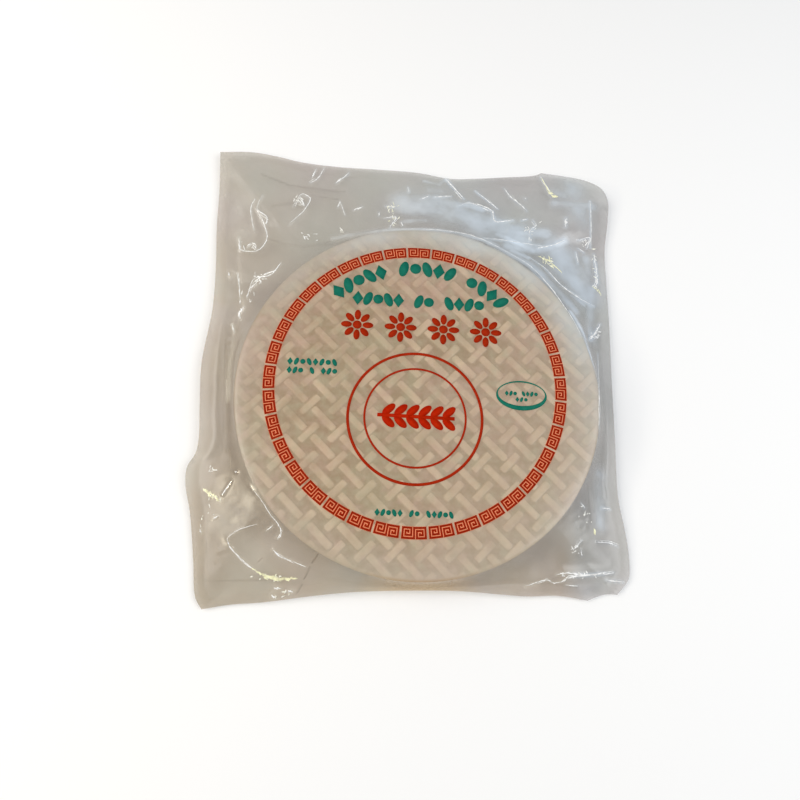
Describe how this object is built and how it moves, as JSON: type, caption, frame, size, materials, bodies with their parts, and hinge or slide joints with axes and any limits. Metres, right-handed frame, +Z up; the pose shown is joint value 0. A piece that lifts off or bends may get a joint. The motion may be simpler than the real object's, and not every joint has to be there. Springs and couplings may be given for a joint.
{
  "type": "rice paper wrapper stack",
  "caption": "Round stack of embossed rice paper wrappers lying flat in a clear welded plastic pouch with a printed fret ring.",
  "frame": {"origin": "centre of the bounding box at its underside, on the surface the pouch lies on", "axes": "+X to the right and +Y to the back edge as the pouch lies with its print up, +Z up"},
  "size_m": [0.2732, 0.3008, 0.0186],
  "materials": {
    "clear_film": "clear glossy film, creased",
    "rice_paper": "matt, slightly translucent, embossed with a mat weave",
    "red_print": "printed ink under gloss",
    "teal_print": "printed ink under gloss"
  },
  "bodies": {
    "root": {"sealed_bag": "clear_film"}
  },
  "joints": []
}
